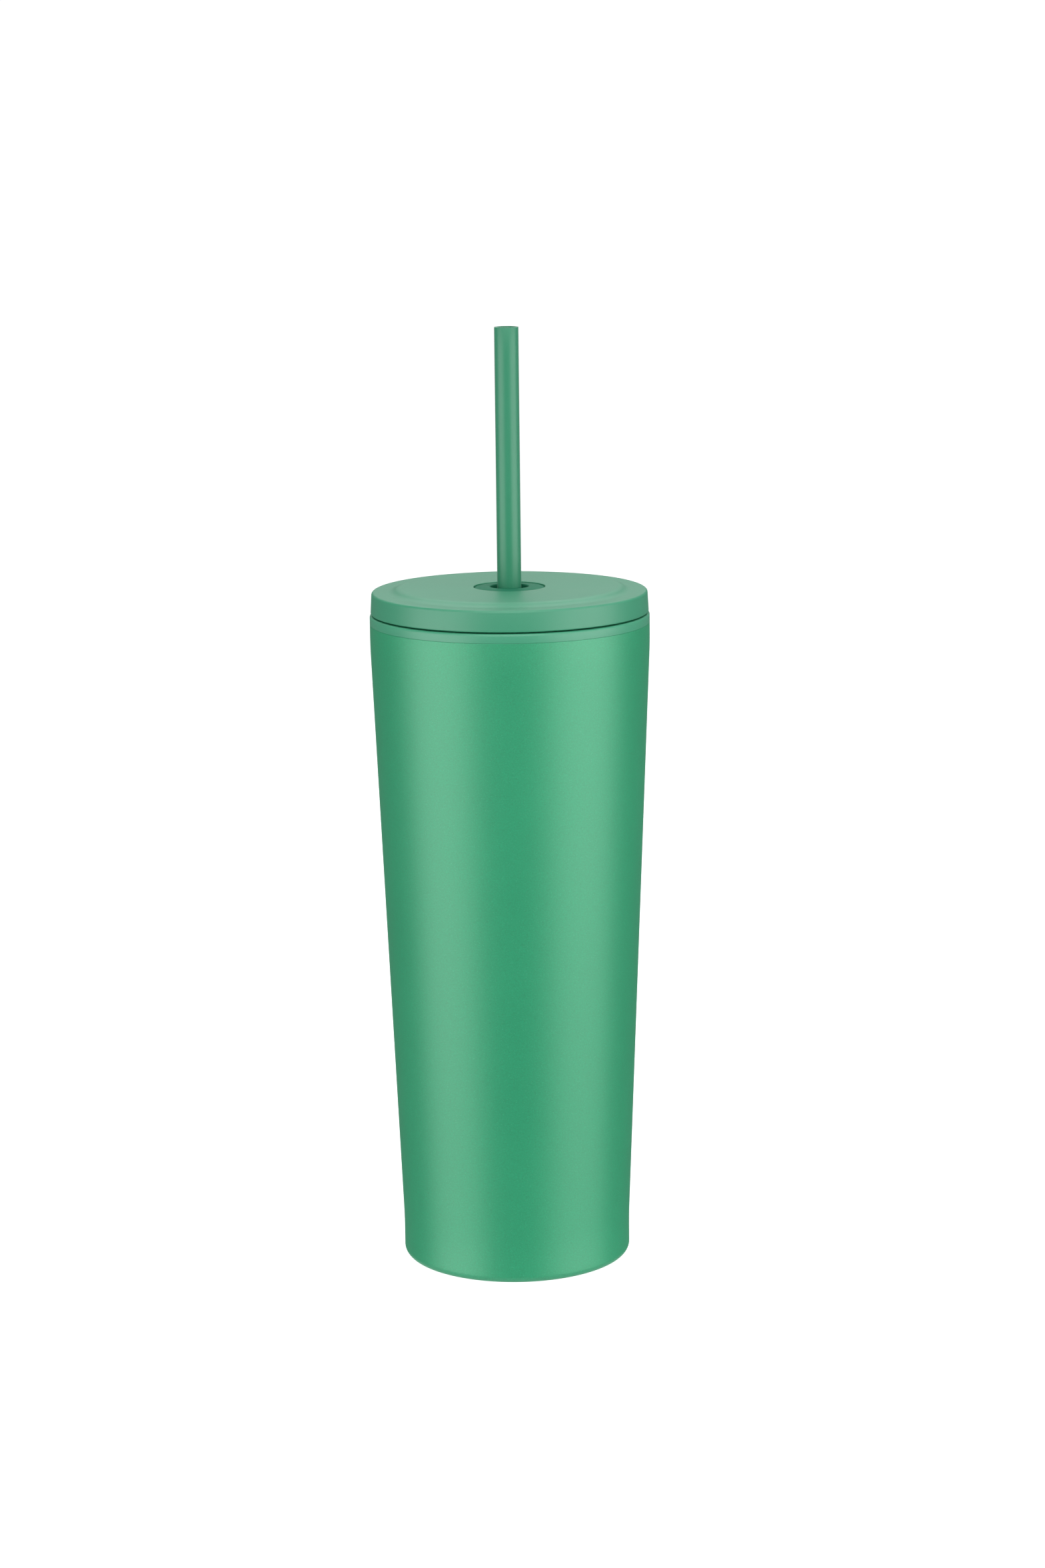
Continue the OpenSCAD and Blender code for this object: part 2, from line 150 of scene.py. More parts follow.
class TumblerLid(PropertyGroup):
    """Sizes of the lid, its gasket, its thread and its grommet."""

    skirt_foot: length("Skirt foot", "Height of the skirt's lower edge", foot_of("lid_cover"))
    skirt_r: length("Skirt radius", "Outer radius of the skirt at its lower edge", radius_of("lid_cover"))
    draft: length("Draft", "How much narrower the skirt is at its top, on the radius", 0.3 * MM)
    plateau_z: length("Raised centre", "Height of the lid's raised centre", top_of("lid_cover"))
    plateau_h: length("Rise", "Height of the raised centre above the rim", 1.2 * MM)
    plateau_r: length(
        "Raised centre radius", "Radius of the raised centre", radius_of("outer_shell") - 9.9 * MM
    )
    plateau_edge: length("Raised centre edge", "Radius of the round edge of the raised centre", 5.0 * MM)
    slope_w: length("Slope", "Width of the slope round the raised centre", 5.2 * MM)
    edge_r: length("Outer edge", "Radius of the lid's outer edge", 0.8 * MM)
    foot_edge: length("Skirt edge", "Radius of the skirt's lower edge", 0.4 * MM)
    soft_edge: length("Small edge", "Radius of the lid's small edges", 0.22 * MM)
    wall: length("Cover wall", "Thickness of the cover", 1.8 * MM)
    hole_r: length("Hole", "Radius of the hole for the grommet", radius_of("straw_grommet") + 0.2 * MM)
    gasket_w: length("Gasket width", "Width of the flat gasket", 1.6 * MM)
    groove_d: length("Gasket groove", "Depth of the groove for the gasket", 0.4 * MM)
    plate_wall: length("Inner wall", "Thickness of the lid's inner plate", 1.4 * MM)
    hub_r: length("Hub", "Inner radius of the hub that holds the grommet", 8.03 * MM)
    lead: length("Thread lead", "Rise of the lid in one turn", 4.0 * MM)
    ridge_h: length("Ridge", "Height of a thread ridge above its wall", 0.8 * MM)
    ridge_play: length("Ridge play", "Play between a ridge and the wall it faces", 0.3 * MM)
    ridge_inset: length("Ridge inset", "Height of the skirt under the lid's ridges", 0.1 * MM)
    waist_r: length("Waist", "Outer radius of the grommet's waist", 7.95 * MM)
    grommet_edge: length(
        "Grommet edge", "Height of the grommet's outer edge", top_of("lid_cover") - 0.3 * MM
    )
    flange: length("Flange", "Thickness of the grommet's flange at its edge", 1.6 * MM)
    grommet_hole: length("Grommet hole", "Radius of the hole through the grommet", 5.75 * MM)
    lip_h: length("Lip", "Height of the grommet's lower lip", 1.2 * MM)
    lip_w: length("Lip width", "How far the lower lip stands out past the hub's bore", 0.7 * MM)


class TumblerStraw(PropertyGroup):
    """Sizes of the straw and its stopper ring."""

    straw_r: length("Straw radius", "Outer radius of the straw", radius_of("straw_tube"))
    wall: length("Straw wall", "Wall of the straw", 0.85 * MM)
    edge: length("Cut edge", "Radius of the straw's cut ends", 0.18 * MM)
    stopper_edge: length("Stopper edge", "Radius of the stopper ring's edges", 0.8 * MM)
    stopper_gap: length("Stopper gap", "Gap between the straw and the stopper ring", 0.02 * MM)


class TumblerColours(PropertyGroup):
    """Colours of the finishes."""

    paint: colour("Paint", "Green paint on the cup", (0.003, 0.342, 0.150))
    fleck: colour("Fleck", "Bright fleck in the paint", (0.20, 0.62, 0.42))
    dust: colour("Dust", "Pale speck of dust on the paint", (0.75, 0.85, 0.78))
    lid: colour("Lid", "Plastic of the lid", (0.036, 0.300, 0.162))
    collar: colour("Collar", "Plastic of the collar", (0.050, 0.340, 0.190))
    straw: colour("Straw", "Plastic of the straw", (0.022, 0.255, 0.130))
    silicone: colour("Silicone", "Silicone of the grommet and the stopper", (0.018, 0.200, 0.108))
    clear_silicone: colour("Clear silicone", "Silicone of the gasket and the seal", (0.62, 0.68, 0.65))
    steel: colour("Steel", "Bare stainless steel", (0.58, 0.575, 0.565))
    foil: colour("Foil", "Bright foil", (0.78, 0.79, 0.80))
    solder_glass: colour("Solder glass", "Dark glass of the bead", (0.030, 0.033, 0.038))
    getter: colour("Getter", "Pressed metal powder", (0.16, 0.155, 0.15))
    floor: colour("Floor", "Paper of the floor and backdrop", (0.60, 0.60, 0.60))


class TumblerStudio(PropertyGroup):
    """Camera and lights."""

    camera_x: length("Camera X", "How far the camera stands to the right", 3.3 * MM)
    camera_distance: length("Camera distance", "How far the camera stands in front", 1087.0 * MM)
    camera_height: length("Camera height", "Height of the camera", 365.9 * MM)
    camera_pitch: FloatProperty(
        name="Camera pitch",
        description="How far the camera looks down",
        default=math.radians(11.31),
        subtype="ANGLE",
        unit="ROTATION",
    )
    camera_roll: FloatProperty(
        name="Camera roll",
        description="How far the camera is turned about its own view",
        default=math.radians(-0.661),
        subtype="ANGLE",
        unit="ROTATION",
    )
    lens: FloatProperty(name="Lens", description="Focal length in millimetres", default=83.06, min=1.0)
    left: brightness("Left light", "Brightness of the soft box on the left", 2.15)
    left_image: brightness("Left image", "Brightness of that box's image in the glossy table", 1.65)
    left_high: brightness("Upper left light", "Brightness of the soft box high on the left", 0.5)
    right: brightness("Right light", "Brightness of the soft box on the right", 2.25)
    right_image: brightness("Right image", "Brightness of that box's image in the glossy table", 1.25)
    right_high: brightness("Upper right light", "Brightness of the soft box high on the right", 1.35)
    front: brightness("Front light", "Brightness of the wide soft box above the camera", 1.75)
    overhead: brightness("Overhead light", "Brightness of the soft box overhead", 1.15)
    back_high: brightness("Upper back light", "Brightness of the soft box high behind", 1.0)
    back: brightness("Back light", "Brightness of the soft box behind", 0.4)
    rear_left: brightness("Rear left light", "Brightness of the soft box high behind on the left", 0.8)
    rear_right: brightness("Rear right light", "Brightness of the soft box high behind on the right", 0.8)
    bounce: brightness("Bounce", "Brightness of the light that the floor throws back at the foot", 0.5)
    sky: brightness("Sky", "Brightness of the surroundings", 0.2)
    floor: brightness("Floor", "Brightness of the lit paper of the floor", 0.9)


# ---------------------------------------------------------------- outlines and meshes


def arc(centre, radius, start, stop, steps=ARC_STEPS):
    """Points of an arc round (r, z), from one angle to another in degrees."""
    points = []
    for i in range(steps + 1):
        angle = math.radians(start + (stop - start) * i / steps)
        points.append((centre[0] + radius * math.cos(angle), centre[1] + radius * math.sin(angle)))
    return points


def spaced(start, stop, count):
    """Evenly spaced numbers, both ends included."""
    return [start + (stop - start) * i / (count - 1) for i in range(count)]


def shell_line(cup, inset, low, high, count=48):
    """The cup's outline moved in by inset, as (r, z) points from low to high."""
    band_z = cup.rim_z - cup.band_h
    taper = (cup.mouth_r - cup.foot_r) / (band_z - cup.weld_z - cup.blend_h)

    def radius(z):
        if z <= cup.weld_z:
            return cup.foot_r
        if z < cup.weld_z + cup.blend_h:
            return cup.foot_r + taper * (z - cup.weld_z) ** 2 / (2 * cup.blend_h)
        if z <= band_z - cup.blend_h:
            return cup.foot_r + taper * (z - cup.weld_z - cup.blend_h / 2)
        if z < band_z:
            return cup.mouth_r - taper * (band_z - z) ** 2 / (2 * cup.blend_h)
        return cup.mouth_r

    return [(radius(z) - inset, z) for z in spaced(low, high, count)]


def add_turned(shape, outline, segments=SEGMENTS, closed=True):
    """Adds an outline of (r, z) points, turned about the Z axis, to a bmesh."""
    rings = []
    for radius, height in outline:
        if radius < 1e-7:
            rings.append([shape.verts.new((0.0, 0.0, height))])
            continue
        ring = []
        for i in range(segments):
            angle = math.tau * i / segments
            ring.append(shape.verts.new((radius * math.cos(angle), radius * math.sin(angle), height)))
        rings.append(ring)
    for low, high in zip(rings, rings[1:] + (rings[:1] if closed else [])):
        if len(low) == 1 and len(high) == 1:
            continue
        for i in range(segments):
            j = (i + 1) % segments
            corners = [low[i % len(low)], low[j % len(low)], high[j % len(high)], high[i % len(high)]]
            shape.faces.new(list(dict.fromkeys(corners)))


def ridge_root(lid):
    """Width of a thread ridge at its wall."""
    return 0.6 * lid.lead / THREAD_STARTS


def ridge_span(cup, lid):
    """Angle that a thread ridge runs through."""
    room = cup.neck_top - cup.band_top - cup.ridge_room - ridge_root(lid)
    return room / lid.lead * math.tau


def neck_ridge_z(cup):
    """Height of the middle of a neck ridge at its start."""
    return cup.band_top + cup.ridge_foot


def add_ridge(shape, wall_r, side, foot_z, start, lid, span, steps=72):
    """Adds one thread ridge, which climbs along a wall, to a bmesh. side is 1 outwards and -1 inwards."""
    root = ridge_root(lid)
    crest = root / 2
    embed = 0.4 * MM
    run_in = math.radians(14)
    sink = 0.15  # how far the ends sink into the wall, as a share of the ridge's height
    rings = []
    for i in range(steps + 1):
        turn = span * i / steps
        run = min(1.0, turn / run_in, (span - turn) / run_in)
        foot_r = wall_r - side * embed
        crest_r = wall_r + side * lid.ridge_h * ((1 + sink) * run - sink)
        mid = foot_z + lid.lead * turn / math.tau
        section = [
            (foot_r, mid - root / 2),
            (crest_r, mid - crest / 2),
            (crest_r, mid + crest / 2),
            (foot_r, mid + root / 2),
        ]
        angle = start + turn
        rings.append([shape.verts.new((r * math.cos(angle), r * math.sin(angle), z)) for r, z in section])
    for low, high in zip(rings, rings[1:]):
        for k in range(4):
            shape.faces.new((low[k], low[(k + 1) % 4], high[(k + 1) % 4], high[k]))
    shape.faces.new(rings[0])
    shape.faces.new(list(reversed(rings[-1])))


def finish_mesh(name, shape, finish, body, nodes):
    """Turns a bmesh into a smooth piece with a finish that rides on a body and stands for CAD nodes."""
    bmesh.ops.recalc_face_normals(shape, faces=shape.faces)
    mesh = bpy.data.meshes.new(name)
    shape.to_mesh(mesh)
    shape.free()
    mesh.shade_smooth()
    mesh.set_sharp_from_angle(angle=SHARP_ANGLE)
    mesh.materials.append(finish)
    piece = bpy.data.objects.new(name, mesh)
    bpy.context.scene.collection.objects.link(piece)
    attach(piece, body)
    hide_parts(*nodes)
    return piece


def turned_piece(name, outline, finish, body, node):
    """A piece turned from one closed outline that stands for one CAD node."""
    shape = bmesh.new()
    add_turned(shape, outline)
    return finish_mesh(name, shape, finish, body, [node])


def dress(node, finish):
    """Gives a CAD node its finish."""
    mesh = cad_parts[node].data
    mesh.materials.clear()
    mesh.materials.append(finish)


# ---------------------------------------------------------------- finishes


class Signal:
    """A node's output. Arithmetic on it adds Math nodes to its finish."""

    def __init__(self, finish, socket):
        self.finish = finish
        self.socket = socket

    def math(self, operation, *values):
        return self.finish.node("ShaderNodeMath", {"operation": operation}, values)

    def __add__(self, other):
        return self.math("ADD", self, other)

    def __sub__(self, other):
        return self.math("SUBTRACT", self, other)

    def __rsub__(self, other):
        return self.math("SUBTRACT", other, self)

    def __mul__(self, other):
        return self.math("MULTIPLY", self, other)

    __radd__ = __add__
    __rmul__ = __mul__

    def below(self, limit):
        """1 where the value is below limit, and 0 elsewhere."""
        return self.math("LESS_THAN", self, limit)

    def above(self, limit):
        """1 where the value is above limit, and 0 elsewhere."""
        return self.math("GREATER_THAN", self, limit)


class Finish:
    """A material that is put together from nodes."""

    def __init__(self, name):
        self.material = bpy.data.materials.new(name)
        self.material.use_nodes = True
        self.tree = self.material.node_tree
        self.shader = next(n for n in self.tree.nodes if n.type == "BSDF_PRINCIPLED")

    def put(self, socket, value):
        """Links a signal to a socket, or sets the socket's own value."""
        if isinstance(value, Signal):
            self.tree.links.new(value.socket, socket)
        elif getattr(socket, "type", "") == "RGBA" and len(value) == 3:
            socket.default_value = (*value, 1.0)
        else:
            socket.default_value = value

    def node(self, kind, settings=None, values=(), output=0):
        """Adds a node, with its settings first and then the values or links of its sockets."""
        node = self.tree.nodes.new(kind)
        for name, setting in (settings or {}).items():
            setattr(node, name, setting)
        pairs = values.items() if isinstance(values, dict) else enumerate(values)
        for key, value in pairs:
            self.put(node.inputs[key], value)
        return Signal(self, node.outputs[output])

    def place(self, stretch=(1.0, 1.0, 1.0)):
        """Places on the piece in metres, stretched along each axis."""
        spot = self.node("ShaderNodeTexCoord", output="Object")
        return self.node("ShaderNodeMapping", {"vector_type": "POINT"}, {"Vector": spot, "Scale": stretch})

    def noise(self, scale, detail=2.0, stretch=(1.0, 1.0, 1.0), roughness=0.5):
        """Cloudy noise around 0, from about -0.5 to 0.5."""
        values = {"Vector": self.place(stretch), "Scale": scale, "Detail": detail, "Roughness": roughness}
        return self.node("ShaderNodeTexNoise", {"noise_dimensions": "3D"}, values) - 0.5

    def specks(self, scale, size, rarity):
        """1 on small round specks, and 0 elsewhere. rarity is the share of the cells with none."""
        values = {"Vector": self.place(), "Scale": scale}
        distance = self.node("ShaderNodeTexVoronoi", {"feature": "F1"}, values, "Distance")
        pick = self.node("ShaderNodeTexVoronoi", {"feature": "F1"}, values, "Color")
        lot = self.node("ShaderNodeSeparateColor", None, [pick], "Red")
        return distance.below(size) * lot.above(rarity)

    def mix(self, factor, first, second):
        """A colour between two others."""
        values = {0: factor, 6: first, 7: second}
        return self.node("ShaderNodeMix", {"data_type": "RGBA"}, values, 2)

    def tint(self, base, change):
        """A colour made lighter or darker by a signal around 0."""
        values = {0: base, "Scale": change + 1.0}
        return self.node("ShaderNodeVectorMath", {"operation": "SCALE"}, values)

    def bump(self, height, depth):
        """A normal from a height signal. depth is in metres."""
        return self.node("ShaderNodeBump", None, {"Distance": depth, "Height": height})

    def surface(self, **sockets):
        """Sets the shader's sockets, with underscores for the spaces in their names."""
        for name, value in sockets.items():
            self.put(self.shader.inputs[name.replace("_", " ")], value)
        return self.material


def flake_paint(name, base, fleck, dust):
    """Satin paint with a fine metallic flake, sparse bright flecks, dust and a soft orange peel."""
    paint = Finish(name)
    grain = paint.noise(3200, detail=3.0, roughness=0.7)
    cloud = paint.noise(45, detail=3.0)
    peel = paint.noise(620, detail=2.0)
    sparks = paint.specks(scale=2600, size=0.26, rarity=0.80)
    grains = paint.specks(scale=75, size=0.016, rarity=0.9)
    tinted = paint.tint(base, grain * 0.9 + cloud * 0.10)
    sparkled = paint.mix(sparks * 0.17, tinted, fleck)
    dusty = paint.mix(grains * 0.8, sparkled, dust)
    return paint.surface(
        Base_Color=dusty,
        Roughness=grain * 0.16 + cloud * 0.04 + 0.45,
        Metallic=0.18,
        IOR=1.6,
        Specular_IOR_Level=1.0,
        Normal=paint.bump(peel + grain * 0.6, 0.02 * MM),
    )


def satin_plastic(name, base, roughness):
    """Moulded plastic with a very fine spark-eroded texture and slow changes of tone."""
    plastic = Finish(name)
    texture = plastic.noise(5200, detail=2.0)
    cloud = plastic.noise(38, detail=2.0)
    return plastic.surface(
        Base_Color=plastic.tint(base, texture * 0.10 + cloud * 0.06),
        Roughness=texture * 0.08 + cloud * 0.05 + roughness,
        Normal=plastic.bump(texture, 0.012 * MM),
        Specular_IOR_Level=0.9,
    )


def drawn_plastic(name, base):
    """Extruded plastic with faint lengthwise streaks."""
    plastic = Finish(name)
    streaks = plastic.noise(1500, detail=3.0, stretch=(1.0, 1.0, 0.012))
    cloud = plastic.noise(60, detail=2.0)
    return plastic.surface(
        Base_Color=plastic.tint(base, streaks * 0.12 + cloud * 0.06),
        Roughness=streaks * 0.12 + 0.38,
        Normal=plastic.bump(streaks, 0.01 * MM),
        Specular_IOR_Level=0.75,
        Sheen_Weight=0.15,
        Sheen_Roughness=0.4,
    )


def silicone(name, base, roughness=0.62, milky=0.0):
    """Soft silicone with a fine matte skin."""
    rubber = Finish(name)
    skin = rubber.noise(3600, detail=3.0)
    cloud = rubber.noise(90, detail=2.0)
    return rubber.surface(
        Base_Color=rubber.tint(base, skin * 0.14 + cloud * 0.10),
        Roughness=skin * 0.12 + roughness,
        Normal=rubber.bump(skin, 0.02 * MM),
        Specular_IOR_Level=0.18,
        Subsurface_Weight=milky,
        Subsurface_Scale=0.6 * MM,
    )


def turned_steel(name, base, roughness=0.24):
    """Stainless steel with fine lines round the axis from turning and polishing."""
    steel = Finish(name)
    lines = steel.noise(900, detail=4.0, stretch=(0.02, 0.02, 6.0))
    cloud = steel.noise(40, detail=3.0)
    return steel.surface(
        Base_Color=steel.tint(base, lines * 0.16 + cloud * 0.08),
        Roughness=lines * 0.18 + cloud * 0.08 + roughness,
        Metallic=1.0,
        Normal=steel.bump(lines, 0.008 * MM),
    )


def crinkled_foil(name, base):
    """Thin bright foil with soft wrinkles."""
    foil = Finish(name)
    wrinkles = foil.noise(140, detail=4.0)
    return foil.surface(
        Base_Color=foil.tint(base, wrinkles * 0.12),
        Roughness=wrinkles * 0.15 + 0.22,
        Metallic=1.0,
        Normal=foil.bump(wrinkles, 0.25 * MM),
    )


def dark_glass(name, base):
    """Solder glass that has run and set."""
    glass = Finish(name)
    flow = glass.noise(700, detail=2.0)
    return glass.surface(
        Base_Color=glass.tint(base, flow * 0.4),
        Roughness=flow * 0.06 + 0.08,
        Normal=glass.bump(flow, 0.03 * MM),
    )


def pressed_powder(name, base):
    """Dull metal powder pressed into a pill."""
    powder = Finish(name)
    grit = powder.noise(5200, detail=3.0, roughness=0.8)
    return powder.surface(
        Base_Color=powder.tint(base, grit * 0.7),
        Roughness=grit * 0.2 + 0.75,
        Metallic=0.35,
        Normal=powder.bump(grit, 0.04 * MM),
    )


# ---------------------------------------------------------------- pieces


class TUMBLER_OT_painted_body(Operator):
    """Build the painted shell, the foot under it and the cover in its recess"""

    bl_idname = "tumbler.painted_body"
    bl_label = "Painted body"

    def execute(self, context):
        cup = context.scene.tumbler_cup
        colours = context.scene.tumbler_colours
        paint = flake_paint("green_flake_paint", colours.paint, colours.fleck, colours.dust)
        self.build_shell(cup, paint)
        self.build_foot(cup, paint)
        self.build_cover(cup, paint)
        return {"FINISHED"}

    def build_shell(self, cup, paint):
        edge = cup.paint_edge
        outside = shell_line(cup, 0.0, cup.weld_z, cup.shell_top - edge, 96)
        inside = shell_line(cup, cup.sheet, cup.weld_z, cup.shell_top, 12)
        rim = arc((cup.mouth_r - edge, cup.shell_top - edge), edge, 0, 90)
        outline = outside + rim + list(reversed(inside))
        turned_piece("painted_shell", outline, paint, "cup", "outer_shell")

    def build_foot(self, cup, paint):
        sheet = cup.sheet
        corner = (cup.foot_r - cup.foot_edge, cup.foot_edge)
        inner_r = cup.foot_r - cup.foot_edge - cup.rest_ring
        riser_r = inner_r - sheet
        fold = sheet * 0.8
        dimple_z = cup.recess + cup.dimple_h
        outline = [(cup.foot_r, cup.weld_z)]
        outline += [(cup.foot_r, z) for z in spaced(cup.weld_z, cup.foot_edge, 6)[1:-1]]
        outline += arc(corner, cup.foot_edge, 0, -90, 16)
        outline += arc((riser_r + fold, fold), fold, -90, -180, 5)
        outline += [
            (riser_r, cup.recess),
            (cup.dimple_r, cup.recess),
            (cup.dimple_r, dimple_z),
            (cup.seal_hole_r, dimple_z),
            (cup.seal_hole_r, dimple_z + sheet),
            (cup.dimple_r + sheet, dimple_z + sheet),
            (cup.dimple_r + sheet, cup.recess + sheet),
            (inner_r, cup.recess + sheet),
            (inner_r, sheet),
        ]
        outline += arc(corner, cup.foot_edge - sheet, -90, 0)
        outline.append((cup.foot_r - sheet, cup.weld_z))
        outline.reverse()
        turned_piece("painted_foot", outline, paint, "cup", "base_cup")

    def build_cover(self, cup, paint):
        low, high = foot_of("base_cover"), top_of("base_cover")
        radius = radius_of("base_cover")
        edge = (high - low) / 2
        groove_r, groove_w, groove_d = radius * 0.88, 0.6 * MM, 0.12 * MM
        outline = [(0.0, low)]
        outline += [(groove_r - groove_w, low), (groove_r, low + groove_d), (groove_r + groove_w, low)]
        outline += arc((radius - edge, low + edge), edge, -90, 0)
        outline += [(radius, high), (0.0, high)]
        turned_piece("recess_cover", outline, paint, "cup", "base_cover")


class TUMBLER_OT_steel_liner(Operator):
    """Build the inner steel cup with its ledge and rim flange"""

    bl_idname = "tumbler.steel_liner"
    bl_label = "Steel liner"

    def execute(self, context):
        cup = context.scene.tumbler_cup
        steel = turned_steel("polished_liner_steel", context.scene.tumbler_colours.steel)
        inset = cup.sheet + cup.wall_gap
        corner_z = cup.liner_floor + cup.liner_corner + cup.sheet
        wall = shell_line(cup, inset, corner_z, cup.ledge_z - cup.ledge_h, 64)
        corner = (wall[0][0] - cup.liner_corner - cup.sheet, corner_z)
        band_r = cup.mouth_r - cup.sheet - cup.band_gap
        flange_r = radius_of("inner_liner")
        ledge_z = cup.ledge_z - FIT
        outline = [(0.0, cup.liner_floor)]
        outline += arc(corner, cup.liner_corner + cup.sheet, -90, 0, 16)[:-1]
        outline += wall
        outline += [
            (band_r, ledge_z),
            (band_r, cup.rim_z - cup.sheet),
            (flange_r, cup.rim_z - cup.sheet),
            (flange_r, cup.rim_z),
            (band_r - cup.sheet, cup.rim_z),
            (band_r - cup.sheet, ledge_z),
        ]
        outline += [(r - cup.sheet, z) for r, z in reversed(wall)]
        outline += arc(corner, cup.liner_corner, 0, -90, 16)[1:]
        outline.append((0.0, cup.liner_floor + cup.sheet))
        turned_piece("polished_liner", outline, steel, "cup", "inner_liner")
        return {"FINISHED"}


class TUMBLER_OT_vacuum_parts(Operator):
    """Finish the pieces sealed in the vacuum: bead, getter, clip and foil"""

    bl_idname = "tumbler.vacuum_parts"
    bl_label = "Vacuum parts"

    def execute(self, context):
        colours = context.scene.tumbler_colours
        dress("seal_bead", dark_glass("solder_glass", colours.solder_glass))
        dress("getter", pressed_powder("getter_powder", colours.getter))
        dress("getter_clip", turned_steel("spring_steel", colours.steel, 0.3))
        dress("liner_foil", crinkled_foil("bright_foil", colours.foil))
        return {"FINISHED"}


class TUMBLER_OT_neck_collar(Operator):
    """Build the plastic collar with its band and threaded neck, and finish its seal"""

    bl_idname = "tumbler.neck_collar"
    bl_label = "Neck collar"

    def execute(self, context):
        cup = context.scene.tumbler_cup
        lid = context.scene.tumbler_lid
        colours = context.scene.tumbler_colours
        skirt_r = cup.mouth_r - 2 * cup.sheet - cup.band_gap - FIT
        bore_r = skirt_r - cup.collar_wall
        neck_r = cup.mouth_r - cup.neck_inset
        lip = (neck_r - bore_r) / 4
        groove_low, groove_high = foot_of("collar_seal") - FILM, top_of("collar_seal") + FILM
        groove_r = skirt_r - cup.seal_groove
        low_edge = 0.06 * MM
        outline = [(bore_r, cup.ledge_z), (skirt_r, cup.ledge_z)]
        outline += [(skirt_r, groove_low), (groove_r, groove_low)]
        outline += [(groove_r, groove_high), (skirt_r, groove_high), (skirt_r, cup.rim_z)]
        outline += arc((cup.mouth_r - low_edge, cup.rim_z + low_edge), low_edge, -90, 0, 4)
        outline += arc((cup.mouth_r - cup.band_edge, cup.band_top - cup.band_edge), cup.band_edge, 0, 90)
        outline += arc((neck_r + cup.cove, cup.band_top + cup.cove), cup.cove, -90, -180, 4)
        outline += arc((neck_r - lip, cup.neck_top - lip), lip, 0, 90)
        outline += arc((bore_r + lip, cup.neck_top - lip), lip, 90, 180)
        shape = bmesh.new()
        add_turned(shape, outline)
        for start in (0.0, math.pi):
            add_ridge(shape, neck_r, 1, neck_ridge_z(cup), start, lid, ridge_span(cup, lid))
        plastic = satin_plastic("collar_plastic", colours.collar, 0.40)
        finish_mesh("threaded_collar", shape, plastic, "cup", ["neck_collar"])
        dress("collar_seal", silicone("seal_silicone", colours.clear_silicone, 0.5, 0.4))
        return {"FINISHED"}


class TUMBLER_OT_lid(Operator):
    """Build the lid's cover with its thread, and the inner plate under it"""

    bl_idname = "tumbler.lid"
    bl_label = "Lid"

    def execute(self, context):
        cup = context.scene.tumbler_cup
        lid = context.scene.tumbler_lid
        plastic = satin_plastic("lid_plastic", context.scene.tumbler_colours.lid, 0.44)
        self.build_cover(cup, lid, plastic)
        self.build_inner(lid, plastic)
        return {"FINISHED"}

    def build_cover(self, cup, lid, plastic):
        neck_r = cup.mouth_r - cup.neck_inset
        rim_z = lid.plateau_z - lid.plateau_h
        under_z = rim_z - lid.wall
        top_r = lid.skirt_r - lid.draft
        inner_r = neck_r + lid.ridge_h + lid.ridge_play
        gasket_r = radius_of("lid_gasket")
        groove_out = gasket_r + FIT
        groove_in = gasket_r - lid.gasket_w - FIT
        groove_z = under_z + lid.groove_d
        well_r = lid.plateau_r - lid.wall
        well_z = lid.plateau_z - lid.wall
        small = lid.soft_edge
        slope_r = (lid.slope_w**2 + lid.plateau_h**2) / (2 * lid.plateau_h)
        slope_turn = math.degrees(math.asin(lid.slope_w / slope_r))
        cove_r = slope_r - lid.plateau_edge
        outline = [(lid.hole_r, well_z)]
        outline += arc((lid.hole_r + small, lid.plateau_z - small), small, 180, 90, 4)
        outline += [(r, lid.plateau_z) for r in spaced(lid.hole_r, lid.plateau_r, 10)[1:-1]]
        shoulder = (lid.plateau_r, lid.plateau_z - lid.plateau_edge)
        outline += arc(shoulder, lid.plateau_edge, 90, 90 - slope_turn, 10)
        outline += arc((lid.plateau_r + lid.slope_w, rim_z + cove_r), cove_r, -90 - slope_turn, -90, 16)[1:]
        outline += arc((top_r - lid.edge_r, rim_z - lid.edge_r), lid.edge_r, 90, 0, 12)
        outline += arc((lid.skirt_r - lid.foot_edge, lid.skirt_foot + lid.foot_edge), lid.foot_edge, 0, -90)
        outline += [
            (inner_r, lid.skirt_foot),
            (inner_r, under_z),
            (groove_out, under_z),
            (groove_out, groove_z),
            (groove_in, groove_z),
            (groove_in, under_z),
            (well_r, under_z),
            (well_r, well_z),
        ]
        outline.reverse()
        shape = bmesh.new()
        add_turned(shape, outline)
        ridge_z = lid.skirt_foot + ridge_root(lid) / 2 + lid.ridge_inset
        offset = ridge_z - neck_ridge_z(cup) + lid.lead / THREAD_STARTS / 2
        turn = offset / lid.lead * math.tau
        for start in (turn, turn + math.pi):
            add_ridge(shape, inner_r, -1, ridge_z, start, lid, ridge_span(cup, lid))
        finish_mesh("lid_cap", shape, plastic, "lid", ["lid_cover"])

    def build_inner(self, lid, plastic):
        low, high = foot_of("lid_inner"), top_of("lid_inner")
        radius = radius_of("lid_inner")
        under_z = lid.plateau_z - lid.plateau_h - lid.wall - FILM
        edge = lid.plate_wall * 0.6
        plate_z = low + lid.plate_wall
        hub_out = lid.hub_r + lid.plate_wall
        small = lid.soft_edge
        outline = arc((lid.hub_r + small, low + small), small, 180, 270, 4)
        outline += [(r, low) for r in spaced(lid.hub_r, radius - edge, 8)[1:-1]]
        outline += arc((radius - edge, low + edge), edge, -90, 0)
        outline += [
            (radius, under_z),
            (radius - lid.plate_wall, under_z),
            (radius - lid.plate_wall, plate_z),
            (hub_out, plate_z),
            (hub_out, high),
            (lid.hub_r, high),
        ]
        turned_piece("lid_inner_plate", outline, plastic, "lid", "lid_inner")


